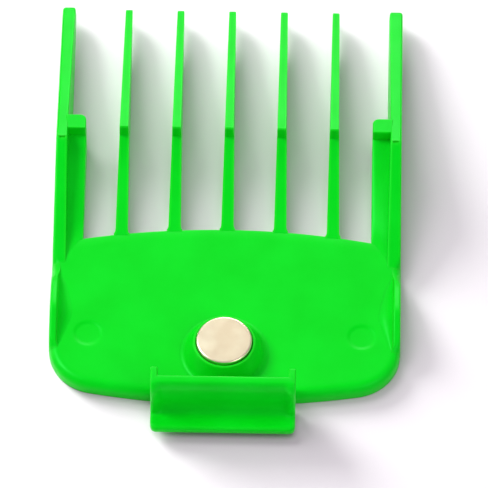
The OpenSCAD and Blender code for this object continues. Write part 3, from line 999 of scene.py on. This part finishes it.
def latch_end(side):
    """The part of an end plate that reaches forward past the lip, beside the blade's rear edge."""
    front_y, rear_y = end_high.y, latch_high.y - 0.6
    top = end_high.z - FLUSH
    clear_z = DECK_TOP + END_CLEAR
    outline = [(front_y, clear_z + 0.3), (front_y, top - END_CORNER_R)]
    outline += arc(front_y - END_CORNER_R, top - END_CORNER_R, END_CORNER_R, 15, 90, 4)
    outline += [(rear_y, top), (rear_y, clear_z), (front_y - 0.3, clear_z)]
    points, faces = slab(outline, lambda y, z: LATCH_HALF_W - END_T, lambda y, z: LATCH_HALF_W - FLUSH)
    name = SIDE_NAMES[side]
    return add_piece(f"latch_end_{name}_moulded", mirrored_points(points, side), faces, "latch",
                     [f"latch_end_{name}"], bevel=END_BEVEL)


def latch_web():
    """The thin web between latch and deck, thinner in its middle; on the real comb it bends as the latch
    opens, here it is one fixed piece.
    """
    half = web_high.x
    y0, y1 = latch_high.y - 0.3, REAR_Y + 0.9
    waist_y = (latch_high.y + REAR_Y) / 2
    middle = (web_low.z + web_high.z) / 2
    columns, rows = 16, 8
    loops = []
    for i in range(columns + 1):
        x = mix(-half, half, i / columns)
        upper, lower = [], []
        for k in range(rows + 1):
            y = mix(y0, y1, k / rows)
            half_t = WEB_HALF_T - WEB_WAIST * math.exp(-((y - waist_y) / WEB_WAIST_L) ** 2)
            upper.append((x, y, middle + half_t))
            lower.append((x, y, middle - half_t))
        loops.append(upper + lower[::-1])
    points, faces = capped(loops)
    piece = add_piece("latch_web_bending", points, faces, None, ["latch_web"])
    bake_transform(piece)
    return piece


latch_scoop()
for hand in (LEFT, RIGHT):
    latch_end(hand)
latch_web()

# ---------------------------------------------------------------- floor, lights and camera
FLOOR_HALF = 4.0
CAMERA_AZIMUTH = 1.404
CAMERA_ELEVATION = 56.737
CAMERA_DISTANCE = 1.0
CAMERA_LENS = 514.08
SENSOR_W = 36.0
SPILL_CANCEL = (1.0, 0.72, 1.0)     # light that offsets the green the comb throws on the floor
TARGET = Vector((0, 0, DECK_TOP * MM))              # the camera stands at its distance from here
AIM = Vector((0.002466, 0.019004, DECK_TOP * MM))   # and looks at this point


def direction(azimuth, elevation):
    """Unit vector from the object towards a place seen at that azimuth and elevation."""
    a, e = math.radians(azimuth), math.radians(elevation)
    return Vector((math.sin(a) * math.cos(e), -math.cos(a) * math.cos(e), math.sin(e)))


def add_floor():
    """A wide flat floor in the rest plane."""
    mesh = bpy.data.meshes.new("floor")
    corners = [(-FLOOR_HALF, -FLOOR_HALF, 0), (FLOOR_HALF, -FLOOR_HALF, 0)]
    corners += [(FLOOR_HALF, FLOOR_HALF, 0), (-FLOOR_HALF, FLOOR_HALF, 0)]
    mesh.from_pydata(corners, [], [(0, 1, 2, 3)])
    mesh.materials.append(floor_paint())
    floor = bpy.data.objects.new("floor", mesh)
    bpy.context.scene.collection.objects.link(floor)
    return floor


def add_area_light(name, azimuth, elevation, distance, size, power, colour=(1, 1, 1)):
    """A round lamp aimed at the object; angles in degrees, distance and size in metres, power in watts."""
    data = bpy.data.lights.new(name, "AREA")
    data.color = colour
    data.shape = "DISK"
    data.size = size
    data.energy = power
    light = bpy.data.objects.new(name, data)
    light.location = direction(azimuth, elevation) * distance
    light.rotation_mode = "QUATERNION"
    light.rotation_quaternion = (-direction(azimuth, elevation)).to_track_quat("-Z", "Y")
    bpy.context.scene.collection.objects.link(light)
    return light


def light_only(light, receivers, shadows=True):
    """The light falls on the receivers alone; without shadows nothing blocks it either."""
    lit = bpy.data.collections.new(light.name + "_receivers")
    for piece in receivers:
        lit.objects.link(piece)
    light.light_linking.receiver_collection = lit
    if not shadows:
        light.light_linking.blocker_collection = bpy.data.collections.new(light.name + "_blockers")


def add_world(strength):
    """Even white light from all round."""
    world = bpy.data.worlds.new("studio")
    world.use_nodes = True
    background = world.node_tree.nodes["Background"]
    background.inputs["Color"].default_value = (1, 1, 1, 1)
    background.inputs["Strength"].default_value = strength
    bpy.context.scene.world = world


def add_camera():
    """A long lens that looks down on the comb from the latch's end."""
    data = bpy.data.cameras.new("camera")
    data.sensor_width = SENSOR_W
    data.lens = CAMERA_LENS
    data.clip_start = 0.05
    data.clip_end = 20
    camera = bpy.data.objects.new("camera", data)
    camera.location = TARGET + direction(CAMERA_AZIMUTH, CAMERA_ELEVATION) * CAMERA_DISTANCE
    camera.rotation_mode = "QUATERNION"
    camera.rotation_quaternion = (AIM - camera.location).to_track_quat("-Z", "Y")
    bpy.context.scene.collection.objects.link(camera)
    bpy.context.scene.camera = camera


floor = add_floor()
part_pieces = [piece for piece in bpy.data.objects if piece.type == "MESH" and piece is not floor]
# azimuth, elevation, distance, size and power of each lamp, then what it falls on
light_only(add_area_light("high_key", -137, 50, 1.2, 0.7, 8.2), [floor])
light_only(add_area_light("low_key", -135, 20, 1.2, 0.6, 31.0), [floor])
light_only(add_area_light("floor_fill", 0, 80, 1.2, 0.8, 5.4, SPILL_CANCEL), [floor], shadows=False)
light_only(add_area_light("top_softbox", -108, 50, 0.8, 0.35, 4.2), part_pieces)
light_only(add_area_light("front_softbox", 50, 40, 0.8, 0.4, 1.4), part_pieces)
light_only(add_area_light("back_softbox", 178, 33, 0.8, 0.3, 1.5), part_pieces)
light_only(add_area_light("magnet_card", 178, 57, 0.8, 0.7, 0.25), [magnet])
add_world(0.38)
add_camera()
bpy.context.scene.view_settings.view_transform = "Standard"
